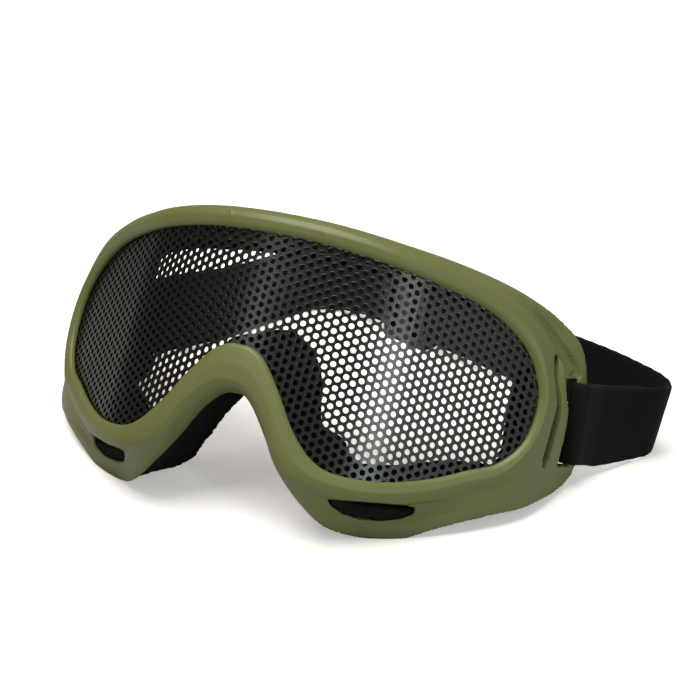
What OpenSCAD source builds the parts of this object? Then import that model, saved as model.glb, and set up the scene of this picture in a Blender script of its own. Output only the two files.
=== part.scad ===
// Mesh-lens shooting goggles, laid on a table as they are put down:
// the frame leans back on its cheeks and the strap stands on edge behind it.
// The goggles are drawn upright first, x to the right, y back, z up along the lens,
// with the middle of the lens front at zero, and are then leaned back and lifted.

/* [Lens] */
// Radius to which the steel lens is rolled
lens_r = 84; // [82:1:88]
// Angle each side of the middle at which the roll ends and the lens runs straight
lens_wrap = 39; // [37:1:41]
// Half width of the lens opening, seen from the front
lens_half_w = 87.5; // [85:0.5:89]
// Height of the opening's brow above the middle of the lens
brow_h = 37.5; // [36:0.5:39]
// Depth of the opening's cheek lobes below the middle of the lens
cheek_h = 34.5; // [33:0.5:35.5]
// Thickness of the steel sheet
lens_t = 0.8; // [0.6:0.1:1]
// Distance between the centres of neighbouring holes
hole_pitch = 3; // [2.8:0.1:3.4]
// Diameter of the punched holes
hole_d = 2; // [1.6:0.1:2.2]

/* [Frame] */
// Width of the rim round the lens at the brow and cheeks
rim_w = 7; // [6:0.25:7.5]
// Width of the rim over the nose
bridge_w = 14; // [13:0.5:15]
// Height of the rim's crown in front of the lens
rim_crown = 3; // [2.4:0.1:3.6]
// How far the lens reaches into its groove
groove_bite = 2.2; // [1.8:0.1:2.4]
// Clearance between the lens and its groove
lens_gap = 0.12; // [0.08:0.01:0.2]
// Thickness of the ledge behind the lens
ledge_t = 2.2; // [1.8:0.1:2.6]
// Thickness of the frame's walls
wall = 2.2; // [1.8:0.1:2.6]
// Thickness of the rear flange that carries the foam
flange_t = 2; // [1.6:0.1:2.4]
// Depth of the skirt behind the lens at the brow
skirt_brow = 19.3; // [18:0.1:21]
// Depth of the skirt behind the lens at the strap bars
skirt_side = 73.5; // [72:0.5:75]
// Depth of the recess round each cheek vent
scoop = 1.8; // [1:0.1:2.2]
// Depth of the valley between the rim and the side fins
valley = 3; // [2:0.1:3.4]

/* [Vents] */
// Length of each cheek vent
cheek_vent_l = 28; // [24:0.5:29]
// Height of each cheek vent, seen from the front
cheek_vent_h = 4.4; // [3.6:0.1:4.8]
// Width of the slots in the brow
brow_vent_w = 5; // [4:0.25:6]
// Length of the middle slot in the brow
brow_vent_l = 32; // [26:1:34]
// Thickness of the foam behind the vents
vent_foam_t = 3; // [2:0.25:3.5]

/* [Face foam] */
// Width of the face foam
foam_w = 9; // [8:0.25:10]
// Width of the face foam beside the nose
foam_nose_w = 6.5; // [6:0.25:7.5]
// Thickness of the face foam at the brow
foam_t = 12; // [10:0.5:14]
// Height of the crown on the face side of the foam
foam_crown = 1.2; // [0.6:0.1:1.6]

/* [Strap] */
// Width of the elastic strap
strap_w = 28; // [25:0.5:29]
// Thickness of the elastic strap
strap_t = 1.5; // [1.2:0.1:1.8]
// Depth of the bars that the strap goes round
bar_d = 5; // [4.5:0.25:5.5]
// Clearance between the strap and what it passes
strap_gap = 0.35; // [0.3:0.05:0.5]

/* [Slider] */
// Length of the slider along the strap
slider_l = 22; // [20:0.5:26]
// Width of the slider's rails above and below the strap
slider_rail = 3; // [2.5:0.25:3.5]
// Thickness of the slider's bars
slider_t = 1.6; // [1.4:0.1:2]

/* [Pose] */
// Angle by which the goggles lean back as they lie
lean = 36.8; // [36:0.1:37.5]

/* [Hidden] */
steps = 4;        // rings between two of the outline's points
olive = "#6d7245";
black = "#1c1a1a";

// The outlines have one entry for each place round the right half of the goggles,
// from the middle of the brow, past the temple and the cheek, to the middle of the nose.
// Edge of the lens opening, x and z
opening = [
    [0, brow_h], [0.24 * lens_half_w, brow_h - 0.3], [0.457 * lens_half_w, brow_h - 1.5],
    [0.629 * lens_half_w, brow_h - 3.3], [0.766 * lens_half_w, brow_h - 5.7],
    [0.869 * lens_half_w, brow_h - 10.3], [0.949 * lens_half_w, brow_h - 17.5],
    [lens_half_w, 8], [0.989 * lens_half_w, -6], [0.926 * lens_half_w, -16],
    [0.834 * lens_half_w, 13 - cheek_h], [0.731 * lens_half_w, 7 - cheek_h],
    [0.594 * lens_half_w, 1.7 - cheek_h], [0.457 * lens_half_w, -cheek_h],
    [0.366 * lens_half_w, 2.2 - cheek_h], [0.274 * lens_half_w, 10 - cheek_h],
    [17, -14], [9.5, -4.5], [4, -1.2], [0, -0.9]];
// Step from the opening to the rim's outer edge, in rim widths, or in bridge widths at the nose
rim_step = [
    [0, 1], [0, 1], [0.21, 0.99], [0.43, 0.97], [0.64, 0.93], [0.86, 0.73], [0.74, 0.33],
    [0.61, 0.07], [0.6, -0.14], [0.5, -0.71], [0.36, -0.9], [0.29, -0.93], [0.21, -0.99],
    [-0.21, -1.07], [-0.71, -1.1], [-0.32, -0.68], [-0.2, -0.8], [-0.09, -0.98], [0.01, -1.02],
    [0, -0.99]];
// Step from the rim's outer edge to the skirt's rear edge, x and z, in millimetres
skirt_step = [
    [0, 3], [0, 3.1], [0.5, 3.4], [2, 4], [3.5, 3.9], [4, 5.2], [5.3, 7.2], [5.2, 1.5],
    [5.3, -4], [6.5, -5], [6, -5.7], [3, -7.5], [3.5, -9.1], [7.5, -9.2], [8.5, -11],
    [6.5, -9.5], [4.2, -9], [3.3, -5], [1.3, -1.2], [0, -0.9]];
// Depth of the skirt's rear edge, y: the brow, the temple, the cheek and the nose
skirt_y = [
    skirt_brow, skirt_brow + 2.1, skirt_brow + 8.2, skirt_brow + 17.2, skirt_brow + 28.7,
    skirt_side - 13, skirt_side - 5.5, skirt_side, skirt_side + 4, 56, 44.7, 37, 33.5, 29, 20,
    13, 10, 8, 8, 8];
// Rear outer edge of the face foam: x, z and y
foam_back = [
    [0, 45, skirt_brow + foam_t], [21, 44.8, skirt_brow + foam_t + 2.5],
    [42, 43.8, skirt_brow + foam_t + 9], [60, 42, skirt_brow + foam_t + 18],
    [73, 38.5, skirt_brow + foam_t + 29], [80, 32.5, skirt_side - 4], [83.5, 24, skirt_side + 1.5],
    [84.5, 9, skirt_side + 4.5], [83.5, -9, skirt_side + 5.5], [80.5, -20.5, 67], [75, -27, 59],
    [66, -33.5, 52], [56, -39, 46], [46, -42, 42], [34, -43.5, 40.5], [25.5, -39, 40],
    [21, -31, 39], [14.5, -19.5, 37], [7, -10, 35], [0, -6.5, 34]];

last = len(opening) - 1;
places = 2 * last;
function flip(v) = [for (i = [0:len(v) - 1]) i == 0 ? -v[0] : v[i]];
function ring(half) = concat(half, [for (i = [last - 1:-1:1]) flip(half[i])]);
edge_ring = ring(opening);
rim_ring = ring([for (i = [0:last])
    opening[i] + rim_step[i] * (i < 15 ? rim_w : bridge_w)]);
skirt_ring = ring([for (i = [0:last]) let (
    rim = opening[i] + rim_step[i] * (i < 15 ? rim_w : bridge_w),
    p = rim + skirt_step[i]) [p[0], p[1], skirt_y[i]]]);
foam_ring = ring(foam_back);

// A smooth closed curve through the points of a ring, at place t
function at(list, t) = let (
    n = len(list), i = floor(t), f = t - i,
    a = list[(i - 1 + n) % n], b = list[i % n], c = list[(i + 1) % n], d = list[(i + 2) % n])
    (2 * b + (c - a) * f + (2 * a - 5 * b + 4 * c - d) * f * f
        + (3 * b - a - 3 * c + d) * f * f * f) / 2;
// Direction in x and z that points inwards from a ring, at place t
function inward(list, t) = let (
    d = at(list, t + 0.05) - at(list, t + places - 0.05), l = norm([d[0], d[1]]))
    [d[1] / l, -d[0] / l];
function ease(a, b, v) = let (f = max(0, min(1, (v - a) / (b - a)))) f * f * (3 - 2 * f);
// The same place counted from the brow on either side
function side_place(t) = let (u = t % places) min(u, places - u);

// Depth of the lens front at x, and the angle to which it has turned there
roll_x = lens_r * sin(lens_wrap);
roll_y = lens_r * (1 - cos(lens_wrap));
function lens_angle(x) = sign(x) * (abs(x) < roll_x ? asin(abs(x) / lens_r) : lens_wrap);
function lens_y(x) = abs(x) < roll_x ? lens_r - sqrt(lens_r * lens_r - x * x)
    : roll_y + (abs(x) - roll_x) * tan(lens_wrap);
// A point over the lens at x and z, a given way in front of it
function over(p, out) = let (a = lens_angle(p[0]))
    [p[0] + out * sin(a), lens_y(p[0]) - out * cos(a), p[1]];

// How far the skirt's outer face is pressed in at place t, from 0 at the rim to 1 at its rear
function pressed(t, f) = let (
    s = side_place(t),
    cheek = ease(9.6, 11.4, s) * (1 - ease(12.8, 14.2, s)),
    side = ease(3.8, 5.2, s) * (1 - ease(6.3, 7.1, s)))
    scoop * cheek * ease(0, 0.14, f) * (1 - ease(0.55, 0.8, f))
    + valley * side * ease(0, 0.2, f) * (1 - ease(0.45, 1, f))
    - 0.9 * (1 - cheek) * (1 - side) * 4 * f * (1 - f);
function rim_foot(t) = over(at(rim_ring, t), 0.9);
function skirt_foot(t) = let (g = at(skirt_ring, t)) [g[0], g[2], g[1]];
// A point on the straight skin between the rim's foot and the skirt's rear edge
function skirt_line(t, f) = rim_foot(t) * (1 - f) + skirt_foot(t) * f;
function skin_normal(t, f) = let (
    n = cross(skirt_foot(t) - rim_foot(t), skirt_line(t + 0.05, f) - skirt_line(t + places - 0.05, f)))
    n / norm(n);
// A point on the skirt's outer face, moved squarely inwards by depth
function skin(t, f, depth) = skirt_line(t, f) + skin_normal(t, f) * (depth + pressed(t, f));

// How the rear flange slopes forwards as it runs inwards at the temples
function flange_slope(t) = let (s = side_place(t)) 0.5 * ease(2.8, 6.2, s) * (1 - ease(7.4, 9.4, s));
// Where the foam's land begins on the flange: inside the strap slots at the temples
function land_in(t) = let (s = side_place(t)) 1 + 8 * ease(5.6, 6.5, s) * (1 - ease(7.8, 8.8, s));
function land_w(t) = let (s = side_place(t)) foam_w + (foam_nose_w - foam_w) * ease(13.6, 15.2, s);
function flange_point(t, reach, back) = let (
    g = skirt_foot(t), m = inward(skirt_ring, t))
    [g[0] + m[0] * reach, g[1] - flange_slope(t) * reach + back, g[2] + m[1] * reach];
// How far in the wall's inner face meets the front of the flange
function corner_reach(t) = let (n = skin_normal(t, 1), m = inward(skirt_ring, t))
    min(2 * wall, (wall + n[1] * flange_t) / (m[0] * n[0] + m[1] * n[2] - n[1] * flange_slope(t)));

// Where the wall's inner face turns towards the flange, as a share of the skin
lining_start = 0.2;
function bend(t) = 0.6 - 0.25 * ease(9.6, 10.3, side_place(t));
// A point on the wall's inner face, moved squarely inwards by depth
function lining(t, f, depth) = let (b = bend(t), f0 = lining_start)
    (f < b ? skin(t, f0, wall) * (b - f) / (b - f0) + skin(t, b, wall) * (f - f0) / (b - f0)
        : skin(t, b, wall) * (1 - f) / (1 - b)
            + flange_point(t, corner_reach(t), -flange_t) * (f - b) / (1 - b))
    + skin_normal(t, f) * depth;

// One section through the frame at place t, from the lip round the outside to the groove
function frame_section(t) = let (
    e = at(edge_ring, t), b = at(rim_ring, t), m = inward(edge_ring, t), mb = inward(rim_ring, t),
    full = land_in(t) + land_w(t))
    [over(e, lens_gap), over(e, 0.55 * rim_crown), over(e - 1.1 * m, 0.86 * rim_crown),
     over((e + b) / 2, rim_crown), over(b + 1.6 * mb, 0.8 * rim_crown), rim_foot(t),
     skin(t, 0.07, 0), skin(t, 0.16, 0), skin(t, 0.34, 0), skin(t, 0.54, 0), skin(t, 0.72, 0),
     skin(t, 0.88, 0), skirt_foot(t),
     flange_point(t, full, 0), flange_point(t, full, -flange_t),
     flange_point(t, corner_reach(t), -flange_t),
     skin(t, bend(t), wall), skin(t, lining_start, wall),
     over(e - 0.4 * m, -lens_t - lens_gap - ledge_t), over(e - 0.4 * m, -lens_t - lens_gap),
     over(e - (groove_bite + 0.4) * m, -lens_t - lens_gap),
     over(e - (groove_bite + 0.4) * m, lens_gap)];

// A closed skin through rings of points: round a loop, or from one end to the other.
// From point turn of each ring on, the four-sided faces are split the other way.
module loft(rings, closed, turn = 1000) {
    n = len(rings);
    k = len(rings[0]);
    spans = closed ? n : n - 1;
    sides = [for (i = [0:spans - 1]) for (j = [0:k - 1]) let (
        a = i * k + j, b = i * k + (j + 1) % k,
        c = ((i + 1) % n) * k + (j + 1) % k, d = ((i + 1) % n) * k + j)
        each j < turn ? [[a, b, c], [a, c, d]] : [[a, b, d], [b, c, d]]];
    ends = closed ? [] : [[for (j = [k - 1:-1:0]) j], [for (j = [0:k - 1]) (n - 1) * k + j]];
    polyhedron([for (r = rings) each r], concat(sides, ends));
}

// Leans the goggles back and stands them on the table
floor_drop = 58.6;
stand_x = -10.75;
stand_y = -65.2;
module laid() translate([stand_x, stand_y, floor_drop]) rotate([-lean, 0, 0]) children();
function lay(p) = [p[0] + stand_x, p[1] * cos(lean) + p[2] * sin(lean) + stand_y,
    -p[1] * sin(lean) + p[2] * cos(lean) + floor_drop];
module above_table() intersection() {
    children();
    translate([-200, -200, 0]) cube([400, 500, 200]);
}

// Strap bars: the rear edge of each side, behind a slot that the strap passes
bar_tilt = 13;
bar_z = 7;
bar_out = lens_half_w + 9.5;
bar_t = 3.7;
bar_back = skirt_side + 0.6;
slot_h = strap_w + 1.5;
module at_bar() translate([0, bar_back, bar_z]) rotate([bar_tilt, 0, 0]) children();
slot_in = bar_out - bar_t - strap_t - 2 * strap_gap - 1.2;
module strap_slot() at_bar() {
    translate([slot_in, -13.6, -slot_h / 2]) cube([30, 13.6 - bar_d, slot_h]);
    translate([slot_in, -13.6, -slot_h / 2]) cube([bar_out - bar_t - slot_in, 40, slot_h]);
}
// Inner wall that parts the strap slot from the wearer's side of the frame
module side_web() {
    translate([0, 0, -15]) linear_extrude(38) polygon([
        [lens_half_w - 2.4, lens_y(lens_half_w) + 3], [lens_half_w - 0.2, lens_y(lens_half_w) + 3],
        [slot_in - 0.3, bar_back - 8], [slot_in - 0.3 - wall, bar_back - 8]]);
    translate([slot_in - 0.45 - wall, bar_back - 4.5, bar_z]) rotate([16.5, 0, 0])
        translate([0, -10, -slot_h / 2]) cube([wall, 10, slot_h]);
}
// Blind groove down the side of the rim
groove_line = [[47.8, 24], [51.2, 17.5], [53.2, 10], [54.4, -0.5], [56, -11.5]];
module side_groove() for (i = [0:len(groove_line) - 2]) hull() for (q = [i, i + 1])
    translate([bar_out - 7.2 + 0.12 * (groove_line[q][0] - 47), groove_line[q][0], groove_line[q][1]])
    rotate([0, 90, 0]) cylinder(d = 2.4, h = 12, $fn = 16);
// Cheek vent through the outer wall: flat above, round below
vent_x = 0.53 * lens_half_w;
module cheek_vent() translate([vent_x, lens_y(vent_x) + 10.5, -cheek_h - 5.4]) rotate([90, 0, 31])
    rotate(11) linear_extrude(26) polygon([for (i = [0:12]) let (u = i / 6 - 1)
        [u * cheek_vent_l / 2, -cheek_vent_h * (1 - u * u)]]);
module slot_shape(l, w) polygon([for (s = [-1, 1]) for (i = [0:6])
    [s * (l - w) / 2 + s * w / 2 * sin(30 * i), -s * w / 2 * cos(30 * i)]]);
brow_vent_y = skirt_brow / 2 + 1;
module brow_vents() {
    translate([0, brow_vent_y, brow_h]) linear_extrude(30) slot_shape(brow_vent_l, brow_vent_w);
    for (s = [-1, 1]) translate([s * (brow_vent_l / 2 + 22), brow_vent_y + 7.5, brow_h])
        rotate(s * 24) linear_extrude(30) slot_shape(brow_vent_l - 4, brow_vent_w);
}

module frame() color(olive) above_table() laid() difference() {
    union() {
        loft([for (i = [0:places * steps - 1]) frame_section(i / steps)], true, 13);
        side_web();
        mirror([1, 0, 0]) side_web();
    }
    for (s = [0, 1]) mirror([s, 0, 0]) {
        strap_slot();
        side_groove();
        cheek_vent();
    }
    brow_vents();
}

// Perforated steel sheet: flat strips one hole column wide follow the roll
column = hole_pitch * sin(60);
turn_s = lens_r * lens_wrap * PI / 180;
columns = ceil((turn_s + (lens_half_w + groove_bite - roll_x) / cos(lens_wrap)) / column);
function column_angle(s) = sign(s) * min(abs(s), turn_s) / lens_r * 180 / PI;
function along(s) = let (a = column_angle(s), r = abs(s) > turn_s ? abs(s) - turn_s : 0)
    [lens_r * sin(a) + sign(s) * r * cos(a), lens_r * (1 - cos(a)) + r * sin(abs(a))];
lens_outline = [for (i = [0:places * steps - 1]) let (t = i / steps)
    at(edge_ring, t) - groove_bite * inward(edge_ring, t)];
punched_outline = [for (i = [0:places * 2 - 1]) let (t = i / 2)
    at(edge_ring, t) - (groove_bite - hole_d / 2 - 0.3) * inward(edge_ring, t)];
// Odd when a line from p crosses the outline an odd number of times
function crossings(p, poly) = len([for (i = [0:len(poly) - 1]) let (
    a = poly[i], b = poly[(i + 1) % len(poly)])
    if ((a[1] > p[1]) != (b[1] > p[1])
        && p[0] < (b[0] - a[0]) * (p[1] - a[1]) / (b[1] - a[1]) + a[0]) 1]);
module rolled_sheet() {
    front = [for (i = [-columns - 1:columns]) along((i + 0.5) * column)];
    back = [for (i = [columns:-1:-columns - 1]) let (
        s = (i + 0.5) * column, a = column_angle(s), p = along(s))
        [p[0] - lens_t * sin(a), p[1] + lens_t * cos(a)]];
    translate([0, 0, -60]) linear_extrude(120) polygon(concat(front, back));
}
module lens_mesh() color("#2a2a28") laid() difference() {
    intersection() {
        rolled_sheet();
        translate([0, 90, 0]) rotate([90, 0, 0]) linear_extrude(120) polygon(lens_outline);
    }
    for (i = [-columns:columns]) let (p = along(i * column))
        translate([p[0], p[1], 0]) rotate([90, 0, column_angle(i * column)])
        linear_extrude(6, center = true) for (k = [-14:14]) let (
            z = (k + (i % 2 == 0 ? 0 : 0.5)) * hole_pitch)
            if (crossings([p[0], z], punched_outline) % 2 == 1)
                translate([0, z]) circle(d = hole_d, $fn = 16);
}

// Face foam: from its land on the flange back to the wearer's face
foam_seat = 0.3;
function foam_section(t) = let (
    a = flange_point(t, land_in(t), foam_seat),
    b = flange_point(t, land_in(t) + land_w(t) - 0.5, foam_seat),
    p = at(foam_ring, t), m = inward(foam_ring, t), w = land_w(t),
    d = [p[0], p[2], p[1]], c = d + [m[0] * w, -flange_slope(t) * w, m[1] * w],
    up = [0, foam_crown, 0], in = [m[0], 0, m[1]])
    [a, (a + d) / 2 + 0.7 * in, d + 0.6 * in - 1.4 * up / foam_crown, d + 2 * in,
     (c + d) / 2 + up, c - 2 * in, c - 0.6 * in - 1.4 * up / foam_crown, (b + c) / 2 - 0.7 * in, b];
module face_foam() color(black) above_table() laid()
    loft([for (i = [0:places * steps - 1]) foam_section(i / steps)], true, 8);

// Pads of filter foam that lie against the inside of the wall behind the vents
pad_gap = 0.3;
module vent_pad(from, to, far) loft([for (t = [from:1 / steps:to]) [
    lining(t, lining_start, pad_gap), lining(t, bend(t), pad_gap), lining(t, far, pad_gap),
    lining(t, far, vent_foam_t), lining(t, bend(t), vent_foam_t),
    lining(t, lining_start, vent_foam_t)]], false);
cheek_pad = [11.5, 13.25];
module cheek_vent_foam_left() color(black) laid()
    vent_pad(places - cheek_pad[1], places - cheek_pad[0], 0.55);
module cheek_vent_foam_right() color(black) laid() vent_pad(cheek_pad[0], cheek_pad[1], 0.55);
brow_pad = 3;
module brow_vent_foam() color(black) laid() vent_pad(places - brow_pad, places + brow_pad, 0.8);

// Strap: a list of pairs, a point on its lower and its upper edge, smooth between them
strap_clear = strap_gap + strap_t / 2;
wrap_in = bar_out - bar_t - strap_clear;
wrap_out = bar_out + strap_clear;
wrap_front = -bar_d - strap_clear;
// Round a bar, from its inner side to its outer side: x, and y behind the bar's rear
wrap_turn = 0.4;
wrap = [[wrap_in, -3.5], [wrap_in + wrap_turn, wrap_front + wrap_turn],
    [(wrap_in + wrap_out) / 2, wrap_front - 0.1],
    [wrap_out - wrap_turn, wrap_front + wrap_turn], [wrap_out, -3.5]];
function on_right(q) = [for (up = [-strap_w / 2, strap_w / 2]) lay([q[0],
    bar_back + q[1] * cos(bar_tilt) - up * sin(bar_tilt),
    bar_z + q[1] * sin(bar_tilt) + up * cos(bar_tilt)])];
function on_left(q) = [for (p = on_right(q)) [2 * stand_x - p[0], p[1], p[2]]];
// The free loop on the table, from the right side round to the left
loop_low = [
    [111, 82, 0.6], [113.6, 86.5, 0.3], [113, 92, 0.2], [109.5, 97, 0.2], [103, 101.5, 0.2],
    [91, 106.5, 0.4], [75, 111, 1.2], [60, 113.5, 2.4], [48, 117, 3.2], [33, 123, 3.4],
    [18, 129, 3.4], [3, 135, 3.4], [-12, 141, 3.4], [-26, 146.6, 2.4], [-37, 148.8, 1],
    [-46, 146, 0.3], [-51.5, 139, 0.3], [-56, 128, 0.3], [-65, 109, 0.4], [-74, 91, 1.8]];
loop_high = [
    [114.5, 81, 29.6], [119.2, 85.5, 28.3], [119, 90.5, 28], [114.5, 95.5, 28], [106, 100.5, 28],
    [92, 106.6, 28.3], [75, 111, 29.2], [60, 113.5, 30.4], [48, 117, 31.2], [33, 123, 31.4],
    [18, 129, 31.4], [3, 135, 31.4], [-12, 141, 31.4], [-26, 146.6, 30.4], [-37, 149, 29],
    [-46, 146.6, 28], [-51.7, 140, 28], [-56.5, 129.5, 28], [-66, 111.5, 28.6], [-77, 93, 31]];
loop = [for (i = [0:len(loop_low) - 1]) [for (p = [loop_low[i], loop_high[i]])
    [p[0] + stand_x, p[1] + stand_y, p[2]]]];
function open_at(list, t) = let (
    n = len(list) - 1, i = min(floor(t), n - 1), f = t - i,
    a = list[max(i - 1, 0)], b = list[i], c = list[i + 1], d = list[min(i + 2, n)])
    (2 * b + (c - a) * f + (2 * a - 5 * b + 4 * c - d) * f * f
        + (3 * b - a - 3 * c + d) * f * f * f) / 2;
// The pair at t and a vector of unit length squarely out of the strap's outer face
function strap_side(list, t) = let (
    p = open_at(list, t),
    run = open_at(list, min(t + 0.02, len(list) - 1)) - open_at(list, max(t - 0.02, 0)),
    n = cross(run[0] + run[1], p[1] - p[0])) n / norm(n);
function layer(list, t, out) = [for (p = open_at(list, t)) p + out * strap_side(list, t)];
function strap_section(list, t) = let (a = layer(list, t, -strap_t / 2), b = layer(list, t, strap_t / 2))
    [a[0], b[0], b[1], a[1]];
module band(list, from, to, count) loft(
    [for (i = [0:count]) strap_section(list, from + (to - from) * i / count)], false);
// The band from the front of the right bar to the front of the left bar
right_last = 5;
main = concat(
    [for (q = concat([for (i = [1:4]) wrap[i]], [[wrap_out + 1.1, 2], [wrap_out + 3.8, 9]])) on_right(q)],
    loop,
    [for (q = [[wrap_in - 1.4, 6.5], [wrap_in - 0.2, 1], wrap[0], wrap[1], wrap[2], wrap[3]]) on_left(q)]);
// Its right end comes back round the bar and is sewn to its own inner face
sewn = concat(
    [for (q = [wrap[3], wrap[2], wrap[1], wrap[0], [wrap_in + 0.3, 0.2]]) on_right(q)],
    [for (t = [right_last, right_last + 0.8]) layer(main, t, -0.97 * strap_t)]);
// Its left end comes back along its outer face, passes the slider and ends beyond it
layer_step = strap_t + 0.3;
loop_end = right_last + len(loop);
tail_end = right_last + 10;
tail = concat(
    [for (q = [wrap[1], wrap[2], wrap[3], wrap[4], [wrap_out - 0.3, 0.8], [wrap_out - 2.8, 5.4]])
        on_left(q)],
    [for (t = [loop_end:-0.5:tail_end]) layer(main, t, layer_step)]);
module strap() color(black) {
    band(main, 1, len(main) - 2, 3 * (len(main) - 3));
    band(sewn, 1, len(sewn) - 1, 3 * (len(sewn) - 2));
    band(tail, 1, len(tail) - 1, 2 * (len(tail) - 2));
}

// Slider: two front bars and a middle bar behind, so that the strap threads it flat
slider_at = [0, 136.2, 3.4];
slider_turn = atan2(-6, 15);
slider_hole = strap_t + layer_step + 2 * strap_gap;
slider_h = strap_w + 2 * slider_rail + 2 * strap_gap;
module strap_slider() color("#151515")
    translate([slider_at[0] + stand_x, slider_at[1] + stand_y, slider_at[2] - slider_rail - strap_gap])
    rotate(slider_turn) translate([0, layer_step / 2, 0]) difference() {
        translate([-slider_l / 2, -slider_hole / 2 - slider_t, 0])
            cube([slider_l, slider_hole + 2 * slider_t, slider_h]);
        translate([-slider_l, -slider_hole / 2, slider_rail])
            cube([2 * slider_l, slider_hole, slider_h - 2 * slider_rail]);
        for (s = [-1, 1]) translate([s * slider_l / 4 - slider_l / 8, -slider_l, slider_rail])
            cube([slider_l / 4, slider_l, slider_h - 2 * slider_rail]);
        for (s = [-1, 1]) translate([s * slider_l * 0.34 - slider_l * 0.2, slider_hole / 2, slider_rail])
            cube([slider_l * 0.4, slider_l, slider_h - 2 * slider_rail]);
    }

frame();
lens_mesh();
face_foam();
cheek_vent_foam_left();
cheek_vent_foam_right();
brow_vent_foam();
strap();
strap_slider();
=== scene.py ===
import math

import bmesh
import bpy
from mathutils import Matrix, Vector, noise


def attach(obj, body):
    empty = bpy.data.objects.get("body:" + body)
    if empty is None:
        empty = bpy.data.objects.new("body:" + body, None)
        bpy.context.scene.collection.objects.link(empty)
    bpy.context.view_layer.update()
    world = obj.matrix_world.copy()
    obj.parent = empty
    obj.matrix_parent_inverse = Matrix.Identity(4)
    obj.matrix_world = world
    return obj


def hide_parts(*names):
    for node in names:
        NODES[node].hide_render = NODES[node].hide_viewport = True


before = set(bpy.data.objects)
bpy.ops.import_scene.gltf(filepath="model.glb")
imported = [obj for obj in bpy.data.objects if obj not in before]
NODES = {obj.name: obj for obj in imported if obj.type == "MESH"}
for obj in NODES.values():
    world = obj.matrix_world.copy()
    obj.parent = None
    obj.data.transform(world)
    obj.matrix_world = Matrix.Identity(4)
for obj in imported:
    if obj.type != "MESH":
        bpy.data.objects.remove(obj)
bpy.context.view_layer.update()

BODY = "goggles"

# Camera: the photograph looks down on the goggles from the front, a little from the right, from
# two thirds of a metre away. All of it is measured from the middle of the steel lens.
LEAN = math.radians(36.8)
LENS_MIDDLE = Vector((-0.01075, -0.0652, 0.0586))
CAMERA_AZIMUTH = math.radians(25.16)
CAMERA_ELEVATION = math.radians(25.91)
CAMERA_DISTANCE = 0.669
CAMERA_RIGHT, CAMERA_UP = 0.03497, -0.00243
PHOTO_SIZE, FOCAL_PIXELS, SENSOR_MM = 700, 2049.3, 36.0

back = Vector((math.sin(CAMERA_AZIMUTH) * math.cos(CAMERA_ELEVATION),
               -math.cos(CAMERA_AZIMUTH) * math.cos(CAMERA_ELEVATION), math.sin(CAMERA_ELEVATION)))
right = Vector((math.cos(CAMERA_AZIMUTH), math.sin(CAMERA_AZIMUTH), 0))
up = back.cross(right)
camera = bpy.data.objects.new("camera", bpy.data.cameras.new("camera"))
camera.data.sensor_width = SENSOR_MM
camera.data.lens = SENSOR_MM * FOCAL_PIXELS / PHOTO_SIZE
camera.data.clip_start, camera.data.clip_end = 0.05, 20
camera.matrix_world = (
    Matrix.Translation(LENS_MIDDLE + back * CAMERA_DISTANCE + right * CAMERA_RIGHT + up * CAMERA_UP)
    @ Matrix((right, up, back)).transposed().to_4x4())
bpy.context.scene.collection.objects.link(camera)
bpy.context.scene.camera = camera
bpy.context.scene.view_settings.view_transform = "Standard"


# Frame: one moulding in flexible olive plastic, satin, with every edge rounded by the mould.
# It starts from the CAD frame. The slits in its sides become blind grooves, the valleys under
# the side fins and the cheek vents are cut to their full size, and the edges are rounded.
class Value:
    """A socket of a material's node tree, with Python's operators as Math nodes."""

    def __init__(self, shader, socket):
        self.shader, self.socket = shader, socket

    def math(self, operation, other=None, clamp=False):
        values = {0: self} if other is None else {0: self, 1: other}
        return self.shader.node("ShaderNodeMath", values, operation=operation, use_clamp=clamp)

    def __add__(self, other):
        return self.math("ADD", other)

    def __mul__(self, other):
        return self.math("MULTIPLY", other)

    def __sub__(self, other):
        return self.math("SUBTRACT", other)

    def __rsub__(self, other):
        return self * -1 + other

    __radd__, __rmul__ = __add__, __mul__


class Shader:
    """A material and the nodes added to it."""

    def __init__(self, name, **sockets):
        self.material = bpy.data.materials.new(name)
        self.material.use_nodes = True
        self.tree = self.material.node_tree
        self.surface = self.tree.nodes["Principled BSDF"]
        self.use(**sockets)
        self.place = self.node("ShaderNodeTexCoord", {}, output="Object")

    def put(self, node, values):
        for key, value in values.items():
            socket = node.inputs[key]
            if isinstance(value, Value):
                self.tree.links.new(value.socket, socket)
            elif hasattr(value, "__len__"):
                socket.default_value = (*value, 1)
            else:
                socket.default_value = value

    def node(self, kind, values, output=0, **settings):
        made = self.tree.nodes.new(kind)
        for key, value in settings.items():
            setattr(made, key, value)
        self.put(made, values)
        return Value(self, made.outputs[output])

    def noise(self, scale, detail):
        return self.node("ShaderNodeTexNoise", {"Vector": self.place, "Scale": scale, "Detail": detail})

    def mix(self, factor, a, b):
        return self.node("ShaderNodeMix", {0: factor, 6: a, 7: b}, output=2, data_type="RGBA")

    def bump(self, height, depth, strength):
        return self.node("ShaderNodeBump", {"Height": height, "Distance": depth, "Strength": strength})

    def use(self, **sockets):
        """Sets sockets of the surface, named with _ for a space."""
        self.put(self.surface, {key.replace("_", " "): value for key, value in sockets.items()})


def finished(obj, *modifiers):
    """obj with its modifiers made real."""
    for kind, settings in modifiers:
        modifier = obj.modifiers.new(kind, kind)
        for key, value in settings.items():
            setattr(modifier, key, value)
    bpy.context.view_layer.update()
    mesh = bpy.data.meshes.new_from_object(obj.evaluated_get(bpy.context.evaluated_depsgraph_get()))
    obj.modifiers.clear()
    obj.data = mesh
    return obj


def dress(obj, shader):
    """Gives obj one material."""
    obj.data.materials.clear()
    obj.data.materials.append(shader.material)


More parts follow.
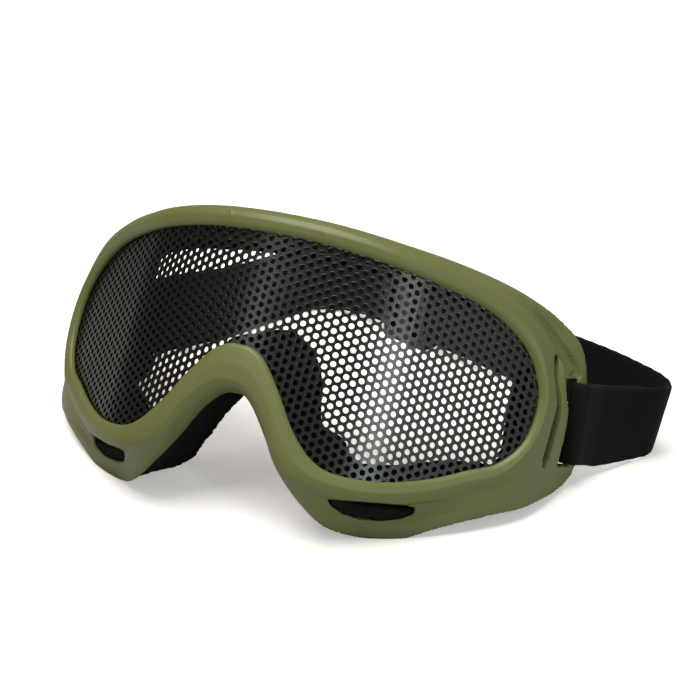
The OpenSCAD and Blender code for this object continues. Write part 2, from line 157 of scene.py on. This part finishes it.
def smooth(obj, shader):
    """Gives obj one material and shades it without facets."""
    dress(obj, shader)
    for face in obj.data.polygons:
        face.use_smooth = True


def copy_of(node, name):
    """A new piece that starts from a CAD node's solid."""
    piece = bpy.data.objects.new(name, NODES[node].data.copy())
    bpy.context.scene.collection.objects.link(piece)
    return piece


def fit(piece, node):
    """The piece stands for its node, which is hidden, and rides on the goggles."""
    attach(piece, BODY)
    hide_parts(node)


def laid(x, y, z):
    """A point of the upright goggles, in millimetres from the middle of the lens, as they lie."""
    return LENS_MIDDLE + Matrix.Rotation(-LEAN, 3, "X") @ Vector((x, y, z)) / 1000


def solids(name, *shapes):
    """Closed solids in one object, each through its rings of points and capped at both ends."""
    mesh = bmesh.new()
    for rings in shapes:
        rows = [[mesh.verts.new(point) for point in ring] for ring in rings]
        for near, far in zip(rows, rows[1:]):
            for j in range(len(near)):
                k = (j + 1) % len(near)
                mesh.faces.new((near[j], near[k], far[k], far[j]))
        mesh.faces.new(rows[0][::-1])
        mesh.faces.new(rows[-1])
    bmesh.ops.recalc_face_normals(mesh, faces=mesh.faces)
    obj = bpy.data.objects.new(name, bpy.data.meshes.new(name))
    mesh.to_mesh(obj.data)
    mesh.free()
    bpy.context.scene.collection.objects.link(obj)
    return obj


def each(value, line):
    """The value at every point of line, given as one number or point by point."""
    return value if hasattr(value, "__len__") else [value] * len(line)


def rod(line, radii, lifts, away, side, deeper=0):
    """Rings of a round rod along line, lifted off it, on the right (1) or mirrored (-1).

    Its lower half can reach deeper under the surface.
    """
    out = Vector(away).normalized()
    radii = each(radii, line)
    places = [Vector(point) + out * lift for point, lift in zip(line, each(lifts, line))]
    rings = []
    for i, place in enumerate(places):
        run = (places[min(i + 1, len(places) - 1)] - places[max(i - 1, 0)]).normalized()
        across = run.cross(out).normalized()
        over = across.cross(run)
        ring = []
        for j in range(ROD_SIDES):
            turn = 2 * math.pi * j / ROD_SIDES
            spot = place + radii[i] * (across * math.cos(turn) + over * math.sin(turn))
            if math.sin(turn) * over.dot(out) < 0:
                spot -= out * deeper
            ring.append(laid(side * spot.x, spot.y, spot.z))
        rings.append(ring)
    return rings


def vent(side):
    """Rings of the block that cuts one cheek vent."""
    turned = (Matrix.Rotation(math.radians(VENT_TURN), 3, "Z")
              @ Matrix.Rotation(math.radians(90), 3, "X")
              @ Matrix.Rotation(math.radians(VENT_TILT), 3, "Z"))
    rings = []
    for reach in (0, VENT_REACH):
        corners = [Vector(VENT_PLACE) + turned @ Vector((x, y, reach)) for x, y in VENT_SHAPE]
        rings.append([laid(side * x, y, z) for x, y, z in corners])
    return rings


def shaped(obj, operation, *shapes):
    """Joins solids to obj or cuts them from it."""
    tool = solids("tool", *shapes)
    finished(obj, ("BOOLEAN", {"object": tool, "operation": operation, "solver": "EXACT",
                               "use_self": True}))
    bpy.data.objects.remove(tool)


# The lines are in millimetres on the surface of the upright frame, and ROD_SIDES is the number
# of sides of a rod that follows one.
ROD_SIDES = 24
# Groove: blind, up to 4 mm wide, in the side of the rim in front of the strap
GROOVE_LINE = [
    (87.6, 56.2, 25.8), (87.8, 56.0, 24.8), (89.4, 55.1, 18), (92.4, 54.4, 12), (93.6, 53.9, 6),
    (93.5, 53.8, 0), (93.2, 54.6, -6), (92.7, 55.3, -10.0), (92.6, 55.4, -11.0)]
GROOVE_RADII = [0.9, 1.6, 1.7, 1.8, 2.0, 2.0, 1.9, 1.7, 0.9]
GROOVE_OUT = (0.94, -0.3, 0.02)
GROOVE_LIFT, GROOVE_DEEPER = 0.3, 1.6
FLOOR_LIFT, FLOOR_RADIUS = -4.6, 2.3
# Filling: it closes the upper half of the CAD slit, which runs further forward
FILLING_LINE = [
    (85.2, 51.6, 28), (86.6, 52.0, 24), (88.4, 52.0, 18), (90.0, 52.0, 15), (91.6, 52.2, 12),
    (92.9, 52.8, 8.5), (93.4, 53.6, 5)]
FILLING_RADIUS = 2.5
# Rib between the groove and the strap's slot
RIB_LINE = [
    (88.2, 58.0, 26.5), (88.9, 58.4, 24), (89.9, 58.7, 21), (90.6, 58.8, 18), (91.6, 58.7, 15),
    (92.8, 58.5, 12), (93.9, 58.2, 8)]
RIB_RADII = [0.4, 0.8, 1.1, 1.3, 1.3, 1.2, 0.8]
RIB_LIFT = -0.3
# Mark of the mould on the brow
MARK_LINE = [(-16.9, -0.6, 43.0), (-16.2, -1.3, 41.4), (-15.3, -1.3, 39.6), (-14.9, -0.7, 38.3)]
MARK_OUT = (0, -1, 0)
MARK_RADIUS = 0.3
# Valley between the rim and the side fin: it deepens and widens down to the strap's slot, and
# the wall under it is made thicker first
VALLEY_LINE = [
    (78.4, 45.8, 37.4), (80.7, 49.9, 35.9), (83.6, 54.0, 33.0), (87.0, 57.4, 29.0),
    (90.4, 61.8, 25.0), (92.4, 64.4, 22.4), (93.6, 66.0, 20.6)]
VALLEY_RADII = [0.5, 1.4, 2.2, 2.9, 3.4, 3.6, 3.6]
VALLEY_DEPTHS = [0.1, 0.7, 1.3, 1.8, 1.9, 1.6, 1.2]
VALLEY_OUT = (0.83, -0.54, 0.14)
BACKING_RADII = [0.3, 1.0, 1.8, 2.6, 3.0, 2.8]
BACKING_COVER = 0.5
# Cheek vent: a D lying on its back, its lower side round
VENT_PLACE, VENT_TURN, VENT_TILT, VENT_REACH = (46.4, 24.5, -39.9), 31, 11, 26
VENT_SHAPE = [
    (-13.6, -0.5), (15.4, -0.3), (15.9, -1.0), (15.2, -2.8), (11, -4.5), (5, -5.5), (-2, -5.5),
    (-8, -4.1), (-12, -2.0)]
# Skin: even, rounded at the edges, and thinned to a third of its faces
FRAME_SKIN = {"mode": "SHARP", "octree_depth": 9, "scale": 0.85,
              "sharpness": 1.0, "use_remove_disconnected": False}
FRAME_ROUNDING = {"factor": 0.5, "iterations": 6}
FACES_KEPT = 0.33
OLIVE = (0.118, 0.134, 0.038)
OLIVE_WORN = (0.136, 0.152, 0.050)

plastic = Shader("olive_plastic", IOR=1.46)
mottle = plastic.noise(38, 3)
grain = plastic.noise(2600, 2)
plastic.use(Base_Color=plastic.mix(mottle * 0.6, OLIVE, OLIVE_WORN),
            Roughness=0.34 + 0.10 * plastic.noise(90, 4) + 0.04 * grain,
            Normal=plastic.bump(grain, 0.00002, 0.5))
moulding = copy_of("frame", "moulded_frame")
floors = [rod(MARK_LINE, MARK_RADIUS, 0, MARK_OUT, 1)]
fillings, hollows = [], []
for side in (1, -1):
    floors.append(rod(GROOVE_LINE, FLOOR_RADIUS, FLOOR_LIFT, GROOVE_OUT, side))
    fillings.append(rod(FILLING_LINE, FILLING_RADIUS, -FILLING_RADIUS, GROOVE_OUT, side))
    fillings.append(rod(RIB_LINE, RIB_RADII, RIB_LIFT, GROOVE_OUT, side))
    under = [-BACKING_COVER - radius for radius in BACKING_RADII]
    fillings.append(rod(VALLEY_LINE[:-1], BACKING_RADII, under, VALLEY_OUT, side))
    hollows.append(rod(GROOVE_LINE, GROOVE_RADII, GROOVE_LIFT, GROOVE_OUT, side, GROOVE_DEEPER))
    above = [radius - depth for radius, depth in zip(VALLEY_RADII, VALLEY_DEPTHS)]
    hollows.append(rod(VALLEY_LINE, VALLEY_RADII, above, VALLEY_OUT, side))
    hollows.append(vent(side))
shaped(moulding, "UNION", *floors)
shaped(moulding, "UNION", *fillings)
shaped(moulding, "DIFFERENCE", *hollows)
finished(moulding, ("REMESH", FRAME_SKIN), ("SMOOTH", FRAME_ROUNDING))
finished(moulding, ("DECIMATE", {"ratio": FACES_KEPT}))
smooth(moulding, plastic)
fit(moulding, "frame")


# Lens: steel sheet 0.8 mm thick, punched with staggered round holes, rolled to the wearer's
# face and dipped in satin black paint. It is the CAD lens, held in the frame's groove.
BLACK_PAINT = (0.006, 0.0057, 0.0052)
paint = Shader("black_paint", Base_Color=BLACK_PAINT, IOR=1.5)
speck = paint.noise(1500, 2)
paint.use(Roughness=0.20 + 0.08 * paint.noise(60, 3) + 0.05 * speck,
          Normal=paint.bump(speck, 0.00003, 0.6))
dress(NODES["lens_mesh"], paint)


# Foams: black open-cell foam, cut by hand to a ring for the face and to pads for the vents,
# and glued to the frame. The cut sides are fuzzy and dull. The face foam is fuller towards the
# eyes than its CAD solid, and the cheek pads grow to fill the full-size vents.
FOAM_SKIN = (("REMESH", {"mode": "VOXEL", "voxel_size": 0.0011}),
             ("SMOOTH", {"factor": 0.5, "iterations": 2}))
FOAM_CELL, FOAM_FUZZ = 0.0016, 0.0005
FINE_CELL, FINE_FUZZ = 2.3, 0.5
# Middle of each eye opening (mm), and how much flatter the way to it runs towards the ends
EYE_X, EYE_Z, EYE_FLATTER = 45, 2, 0.3
# How far the face foam bulges towards the eyes and over the nose, where each bulge fades in,
# outwards (x) and upwards (z), all in millimetres, and how squarely the foam faces that way
CHEEK_BULGE, CHEEK_X, CHEEK_Z = 10, (16, 30), (-12, -24)
TEMPLE_BULGE, TEMPLE_X, TEMPLE_Z = 7, (68, 78), (30, 20)
BRIDGE_BULGE, BRIDGE_X, BRIDGE_Z = 13, (6, 20), (14, 2)
FACING = (0.1, 0.75)
# Ways in which the right cheek pad grows, and how far at its near and its far end (mm)
PAD_GROWTH = [((0.17, 0.84, -0.51), 0, 3), ((0.85, 0.5, 0.15), 1, 2), ((0.44, -0.53, -0.73), 0, 2)]
# Painted shade: the foam's colour is darkest in the low spots of the noise that also bumps its surface,
# as if shade falls in its pits.
FOAM_PIT_SHADE, FOAM_TUFT = (0.003, 0.0027, 0.0027), (0.020, 0.0185, 0.018)
foam = Shader("black_foam", Roughness=1.0, IOR=1.15)
cells_and_pit_shade = foam.noise(900, 3)
foam.use(Base_Color=foam.mix(cells_and_pit_shade, FOAM_PIT_SHADE, FOAM_TUFT), Normal=foam.bump(cells_and_pit_shade, 0.0004, 0.9))


def fuzz(obj):
    """Roughens a foam's skin with pits and tufts."""
    for vertex in obj.data.vertices:
        place = vertex.co / FOAM_CELL
        tuft = noise.noise(place) + FINE_FUZZ * noise.noise(place * FINE_CELL)
        vertex.co += vertex.normal * tuft * FOAM_FUZZ


def stretch(obj, way, before, after):
    """Lengthens a pad along way, by so many millimetres at its near and its far end."""
    along = [vertex.co.dot(way) for vertex in obj.data.vertices]
    start, end = min(along), max(along)
    for vertex, place in zip(obj.data.vertices, along):
        share = (place - start) / (end - start)
        vertex.co += way * ((before + after) * share - before) / 1000


def step(a, b, value):
    """Rises softly from 0 at a to 1 at b."""
    share = max(0.0, min(1.0, (value - a) / (b - a)))
    return share * share * (3 - 2 * share)


def bulge(obj):
    """Swells the face foam's inner edge towards the eyes and over the nose."""
    upright = Matrix.Rotation(LEAN, 3, "X")
    moves = []
    for vertex in obj.data.vertices:
        x, y, z = upright @ (vertex.co - LENS_MIDDLE) * 1000
        facing = upright @ vertex.normal
        eye_x = math.copysign(max(EYE_X - abs(abs(x) - EYE_X) * EYE_FLATTER, 0), x)
        eye = Vector((eye_x - x, 0, EYE_Z - z)).normalized()
        bridge = 1 - step(*BRIDGE_X, abs(x))
        towards = (eye * (1 - bridge) + Vector((0, 0, 1)) * bridge).normalized()
        cheek = step(*CHEEK_Z, z) * step(*CHEEK_X, abs(x))
        temple = step(*TEMPLE_X, abs(x)) * (1 - cheek) * step(*TEMPLE_Z, z)
        reach = CHEEK_BULGE * cheek + TEMPLE_BULGE * temple + BRIDGE_BULGE * bridge * step(*BRIDGE_Z, z)
        moves.append(reach * step(*FACING, facing.dot(towards)) * towards)
    for vertex, move in zip(obj.data.vertices, moves):
        vertex.co += upright.transposed() @ move / 1000


for node, name in (("face_foam", "face_foam_ring"), ("cheek_vent_foam_left", "left_vent_pad"),
                   ("cheek_vent_foam_right", "right_vent_pad"), ("brow_vent_foam", "brow_vent_pad")):
    pad = finished(copy_of(node, name), *FOAM_SKIN)
    if node == "face_foam":
        bulge(pad)
        finished(pad, *FOAM_SKIN)
    if node.startswith("cheek"):
        side = -1 if node.endswith("left") else 1
        for (x, y, z), before, after in PAD_GROWTH:
            way = Matrix.Rotation(-LEAN, 3, "X") @ Vector((side * x, y, z)).normalized()
            stretch(pad, way, before, after)
    fuzz(pad)
    smooth(pad, foam)
    fit(pad, node)


# Strap: 28 mm woven elastic. One end is sewn round the right bar, the other goes round the
# left bar and comes back along its own outer face through the slider. It stands on its edge.
STRAP_W, STRAP_T = 0.028, 0.0015
# The bars, and the way of the strap beside them: outwards and back from the bar's middle (mm)
BAR_REAR, BAR_HEIGHT, BAR_TILT = 74.1, 7.0, math.radians(13)
AROUND_BAR = [(92.2, -3.5), (92.6, -5.7), (95.15, -6.2), (97.7, -5.7), (98.1, -3.5)]
TO_LOOP = [(99.2, 2), (101.9, 9)]
FROM_LOOP = [(90.8, 6.5), (92.0, 1)]
SEWN_END = [(92.5, 0.2)]
BACK_OUTSIDE = [(97.8, 0.8), (95.3, 5.4)]
# The way of the strap's two edges over the table, from the right bar round to the left one (mm)
LOOP_LOWER = [
    (111, 82, 0.6), (113.6, 86.5, 0.3), (113, 92, 0.2), (109.5, 97, 0.2), (103, 101.5, 0.2),
    (91, 106.5, 0.4), (75, 111, 1.2), (60, 113.5, 2.4), (48, 117, 3.2), (33, 123, 3.4),
    (18, 129, 3.4), (3, 135, 3.4), (-12, 141, 3.4), (-26, 146.6, 2.4), (-37, 148.8, 1),
    (-46, 146, 0.3), (-51.5, 139, 0.3), (-56, 128, 0.3), (-65, 109, 0.4), (-74, 91, 1.8)]
LOOP_UPPER = [
    (114.5, 81, 29.6), (119.2, 85.5, 28.3), (119, 90.5, 28), (114.5, 95.5, 28), (106, 100.5, 28),
    (92, 106.6, 28.3), (75, 111, 29.2), (60, 113.5, 30.4), (48, 117, 31.2), (33, 123, 31.4),
    (18, 129, 31.4), (3, 135, 31.4), (-12, 141, 31.4), (-26, 146.6, 30.4), (-37, 149, 29),
    (-46, 146.6, 28), (-51.7, 140, 28), (-56.5, 129.5, 28), (-66, 111.5, 28.6), (-77, 93, 31)]
# Where along that way the sewn end stops, and where the doubled part starts and stops
LOOP_START, SEWN_STOP, LOOP_END, TAIL_END = 5, 0.8, 25, 15
SEWN_LAYER, DOUBLED_LAYER = -0.97 * STRAP_T, STRAP_T + 0.0003
# Mesh: a ring of points every STRAP_STEP, closer together towards the rounded edges, which
# pucker a little between the picks
STRAP_STEP, SAMPLES = 0.0015, 40
ACROSS, CROWDING, EDGE_ROUND = 14, 1.6, 14
PUCKER, PUCKER_TURN, PUCKER_EDGE = 0.00016, 1.9, 6


def at_bar(side, points):
    """Lower and upper edge of the strap at points beside the right (1) or left (-1) bar."""
    pairs = []
    for x, y in points:
        pair = []
        for edge in (-500 * STRAP_W, 500 * STRAP_W):
            pair.append(laid(side * x, BAR_REAR + y * math.cos(BAR_TILT) - edge * math.sin(BAR_TILT),
                             BAR_HEIGHT + y * math.sin(BAR_TILT) + edge * math.cos(BAR_TILT)))
        pairs.append(pair)
    return pairs


def through(pairs, t):
    """The pair of edge points at place t of a smooth run through pairs."""
    i = min(int(t), len(pairs) - 2)
    f = t - i
    rows = [pairs[max(i - 1, 0)], pairs[i], pairs[i + 1], pairs[min(i + 2, len(pairs) - 1)]]
    return [(2 * b + (c - a) * f + (2 * a - 5 * b + 4 * c - d) * f * f
             + (3 * b - a - 3 * c + d) * f ** 3) / 2 for a, b, c, d in zip(*rows)]


def outward(pairs, t):
    """Away from the face of the strap at place t."""
    before, after = through(pairs, max(t - 0.02, 0)), through(pairs, min(t + 0.02, len(pairs) - 1))
    low, high = through(pairs, t)
    return (after[0] + after[1] - before[0] - before[1]).cross(high - low).normalized()


def layer(pairs, t, out):
    """The edge points at place t, moved out of the strap's face."""
    return [p + out * outward(pairs, t) for p in through(pairs, t)]


stand = Vector((LENS_MIDDLE.x, LENS_MIDDLE.y, 0))
loop = [[stand + Vector(p) / 1000 for p in pair] for pair in zip(LOOP_LOWER, LOOP_UPPER)]
main = (at_bar(1, AROUND_BAR[1:] + TO_LOOP) + loop + at_bar(-1, FROM_LOOP + AROUND_BAR[:4]))
sewn = [layer(main, LOOP_START + SEWN_STOP, SEWN_LAYER), layer(main, LOOP_START, SEWN_LAYER)]
sewn += at_bar(1, SEWN_END + AROUND_BAR[:2])
tail = at_bar(-1, AROUND_BAR[3:] + BACK_OUTSIDE)
tail += [layer(main, LOOP_END - i / 2, DOUBLED_LAYER) for i in range(2 * (LOOP_END - TAIL_END) + 1)]
run = sewn + main[1:-1] + tail

places, walked = [0.0], 0.0
centre = sum(through(run, 0), Vector()) / 2
for i in range(1, SAMPLES * (len(run) - 1) + 1):
    middle = sum(through(run, i / SAMPLES), Vector()) / 2
    walked += (middle - centre).length
    centre = middle
    if walked >= STRAP_STEP * len(places):
        places.append(i / SAMPLES)

mesh = bmesh.new()
woven = mesh.verts.layers.float_vector.new("woven")
rings = []
for k, t in enumerate(places):
    low, high = through(run, t)
    out = outward(run, t)
    ring = []
    for face in (1, -1):
        for j in range(ACROSS + 1):
            v = face * (1 - 2 * j / ACROSS)
            v = math.copysign(1 - (1 - abs(v)) ** CROWDING, v)
            thick = STRAP_T / 2 * (1 - abs(v) ** EDGE_ROUND) ** 0.5
            pucker = PUCKER * math.sin(k * PUCKER_TURN) * abs(v) ** PUCKER_EDGE
            spot = (low + high) / 2 + (high - low) / 2 * v + out * (face * thick + pucker)
            if j in (0, ACROSS) and face == -1:
                continue
            vertex = mesh.verts.new(spot)
            vertex[woven] = (k * STRAP_STEP, v * STRAP_W / 2, 0)
            ring.append(vertex)
    rings.append(ring)
for near, far in zip(rings, rings[1:]):
    for j, vertex in enumerate(near):
        k = (j + 1) % len(near)
        mesh.faces.new((vertex, near[k], far[k], far[j]))
mesh.faces.new(rings[0][::-1])
mesh.faces.new(rings[-1])
bmesh.ops.recalc_face_normals(mesh, faces=mesh.faces)
band = bpy.data.objects.new("elastic_band", bpy.data.meshes.new("elastic_band"))
mesh.to_mesh(band.data)
mesh.free()
bpy.context.scene.collection.objects.link(band)

# Weave: ribs along the strap and picks across it. Its colour is painted light and shade: lighter where
# the weave stands up and darker in its grooves, mixed with a random tone from the fibre noise.
RIB, PICK = 0.00115, 0.0007
ELASTIC_SHADED, ELASTIC_LIT = (0.0045, 0.0040, 0.0036), (0.0125, 0.0110, 0.0100)
elastic = Shader("black_elastic", IOR=1.2, Sheen_Weight=0.05, Sheen_Roughness=0.4)
woven = elastic.node("ShaderNodeAttribute", {}, output="Vector", attribute_name="woven")
along = elastic.node("ShaderNodeSeparateXYZ", {0: woven}, output="X")
across = elastic.node("ShaderNodeSeparateXYZ", {0: woven}, output="Y")
rib = (across * (2 * math.pi / RIB)).math("SINE")
pick = (along * (2 * math.pi / PICK) + rib * 1.2).math("SINE")
fibre = elastic.noise(2400, 2)
weave = 0.5 + 0.13 * rib + 0.16 * pick + 0.3 * fibre
# Painted light: the raised ribs and picks get the lighter colour.
lit = (weave - 0.35).math("MULTIPLY", 1.2, clamp=True)
elastic.use(Base_Color=elastic.mix(lit, ELASTIC_SHADED, ELASTIC_LIT),
            Roughness=0.72 + 0.2 * fibre,
            Normal=elastic.bump(weave, 0.00015, 0.5))
smooth(band, elastic)
fit(band, "strap")


# Slider: a glossy black moulding that clasps both layers of the strap. It is the CAD slider,
# with its edges broken as the mould leaves them.
SLIDER_EDGE = 0.0004
gloss = Shader("black_gloss", Base_Color=(0.012, 0.012, 0.012))
gloss.use(Roughness=0.2 + 0.1 * gloss.noise(200, 3))
slider = NODES["strap_slider"]
dress(slider, gloss)
edge = slider.modifiers.new("rounded_edges", "BEVEL")
edge.width, edge.segments, edge.limit_method = SLIDER_EDGE, 2, "ANGLE"


# Table and light: a white table under large soft lights, warm from above and cool from the
# window at the right. The table looks white in the picture and throws less light back.
TABLE_HALF = 6
TABLE_LIT, TABLE_SEEN, TABLE_GLOW = (0.55, 0.55, 0.55), (0.92, 0.92, 0.92), (0.36, 0.35, 0.335)
DIM_SIDE, BRIGHT_SIDE = 0.10, 0.42
WARM, COOL, NEUTRAL = (1, 0.955, 0.9), (0.88, 1, 0.96), (1, 1, 1)
table = bpy.data.objects.new("table", bpy.data.meshes.new("table"))
mesh = bmesh.new()
bmesh.ops.create_grid(mesh, x_segments=1, y_segments=1, size=TABLE_HALF)
mesh.to_mesh(table.data)
mesh.free()
bpy.context.scene.collection.objects.link(table)
white = Shader("white_table", Roughness=0.6, Emission_Strength=1.0)
seen = white.node("ShaderNodeLightPath", {}, output="Is Camera Ray")
white.use(Base_Color=white.mix(seen, TABLE_LIT, TABLE_SEEN),
          Emission_Color=white.mix(seen, (0, 0, 0), TABLE_GLOW))
dress(table, white)

world = bpy.data.worlds.new("studio")
bpy.context.scene.world = world
world.use_nodes = True
backdrop = world.node_tree.nodes["Background"]
backdrop.inputs["Color"].default_value = (*WARM, 1)
where = world.node_tree.nodes.new("ShaderNodeTexCoord")
apart = world.node_tree.nodes.new("ShaderNodeSeparateXYZ")
fade = world.node_tree.nodes.new("ShaderNodeMapRange")
for name, value in (("From Min", -1), ("From Max", 1), ("To Min", DIM_SIDE), ("To Max", BRIGHT_SIDE)):
    fade.inputs[name].default_value = value
world.node_tree.links.new(where.outputs["Generated"], apart.inputs[0])
world.node_tree.links.new(apart.outputs[0], fade.inputs["Value"])
world.node_tree.links.new(fade.outputs["Result"], backdrop.inputs["Strength"])


def softbox(name, colour, place, aim, size, watts):
    """Hangs a rectangular light at place and turns it to aim."""
    lamp = bpy.data.objects.new(name, bpy.data.lights.new(name, "AREA"))
    lamp.data.shape, lamp.data.size, lamp.data.size_y = "RECTANGLE", *size
    lamp.data.color, lamp.data.energy = colour, watts
    lamp.location = place
    lamp.rotation_euler = (Vector(aim) - Vector(place)).to_track_quat("-Z", "Y").to_euler()
    bpy.context.scene.collection.objects.link(lamp)


softbox("ceiling_light", WARM, place=(-0.15, -0.12, 1.1), aim=(0, 0, 0.03),
        size=(0.85, 0.85), watts=15.5)
softbox("window_light", COOL, place=(0.80, -0.55, 0.56), aim=(0.05, -0.05, 0.04),
        size=(0.10, 0.36), watts=1.6)
softbox("front_light", NEUTRAL, place=(-0.42, -0.80, 0.75), aim=(0, -0.05, 0.05),
        size=(0.12, 0.12), watts=0.5)
